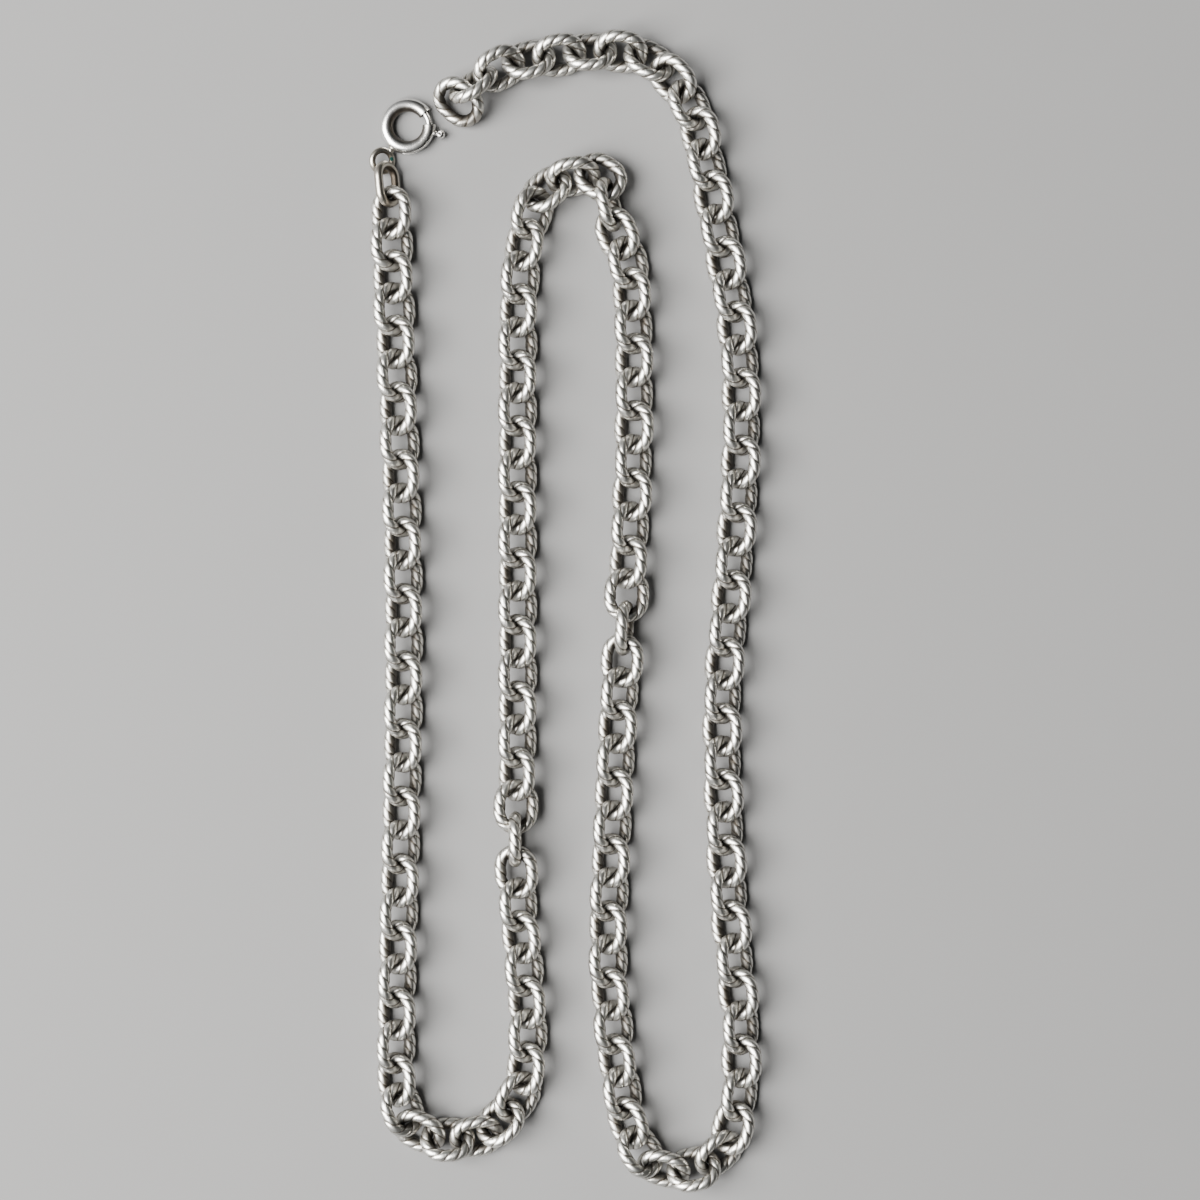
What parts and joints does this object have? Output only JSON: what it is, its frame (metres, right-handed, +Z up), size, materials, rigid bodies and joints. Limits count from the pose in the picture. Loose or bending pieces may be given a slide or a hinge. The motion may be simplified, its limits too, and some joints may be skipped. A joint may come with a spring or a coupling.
{
  "type": "silver rope-link necklace chain",
  "caption": "Necklace chain of oval twisted-wire links with a smooth spring-ring clasp, undone and laid out flat in a meander.",
  "frame": {"origin": "on the surface the chain lies on, under the middle of its bounding box", "axes": "+Z up from that surface; +Y along the long runs, towards the end with the clasp; +X across the runs"},
  "size_m": [0.0676, 0.2002, 0.0077],
  "materials": {
    "aged_silver": "worn silver, bright on the strands and dark with tarnish in the grooves between them",
    "bright_silver": "smooth polished silver with fine scratches"
  },
  "bodies": {
    "necklace": {"links_001_to_004": "aged_silver", "links_005_to_009": "aged_silver", "links_010_to_013": "aged_silver", "links_014_to_018": "aged_silver", "links_019_to_022": "aged_silver", "links_023_to_027": "aged_silver", "link_028": "aged_silver", "link_029": "aged_silver", "link_030": "aged_silver", "link_031": "aged_silver", "link_032": "aged_silver", "link_033": "aged_silver", "links_034_to_037": "aged_silver", "links_038_to_042": "aged_silver", "links_043_to_046": "aged_silver", "links_047_to_051": "aged_silver", "links_052_to_055": "aged_silver", "links_056_to_060": "aged_silver", "link_061": "aged_silver", "link_062": "aged_silver", "link_063": "aged_silver", "link_064": "aged_silver", "link_065": "aged_silver", "link_066": "aged_silver", "links_067_to_070": "aged_silver", "links_071_to_074": "aged_silver", "links_075_to_078": "aged_silver", "links_079_to_082": "aged_silver", "links_083_to_086": "aged_silver", "links_087_to_090": "aged_silver", "link_091": "aged_silver", "link_092": "aged_silver", "link_093": "aged_silver", "link_094": "aged_silver", "link_095": "aged_silver", "link_096": "aged_silver", "links_097_to_100": "aged_silver", "links_101_to_104": "aged_silver", "links_105_to_108": "aged_silver", "links_109_to_113": "aged_silver", "links_114_to_117": "aged_silver", "links_118_to_121": "aged_silver", "links_122_to_126": "aged_silver", "link_127": "aged_silver", "link_128": "aged_silver", "link_129": "aged_silver", "link_130": "aged_silver", "link_131": "aged_silver", "link_132": "aged_silver", "link_133": "aged_silver", "link_134": "aged_silver", "link_135": "aged_silver", "link_136": "aged_silver", "end_link": "aged_silver", "plain_link": "aged_silver", "clasp_tube": "bright_silver", "clasp_eye": "bright_silver"},
    "bolt": {"clasp_bolt": "bright_silver"}
  },
  "joints": [
    {"name": "clasp_bolt_slide", "type": "hinge", "parent": "necklace", "child": "bolt", "pos_m": [-0.0273, 0.08404, 0.00115], "axis": [0, 0, -1], "range_deg": [0, 38], "stiffness_Nm_per_rad": 0.01, "springref_deg": -20.05}
  ]
}
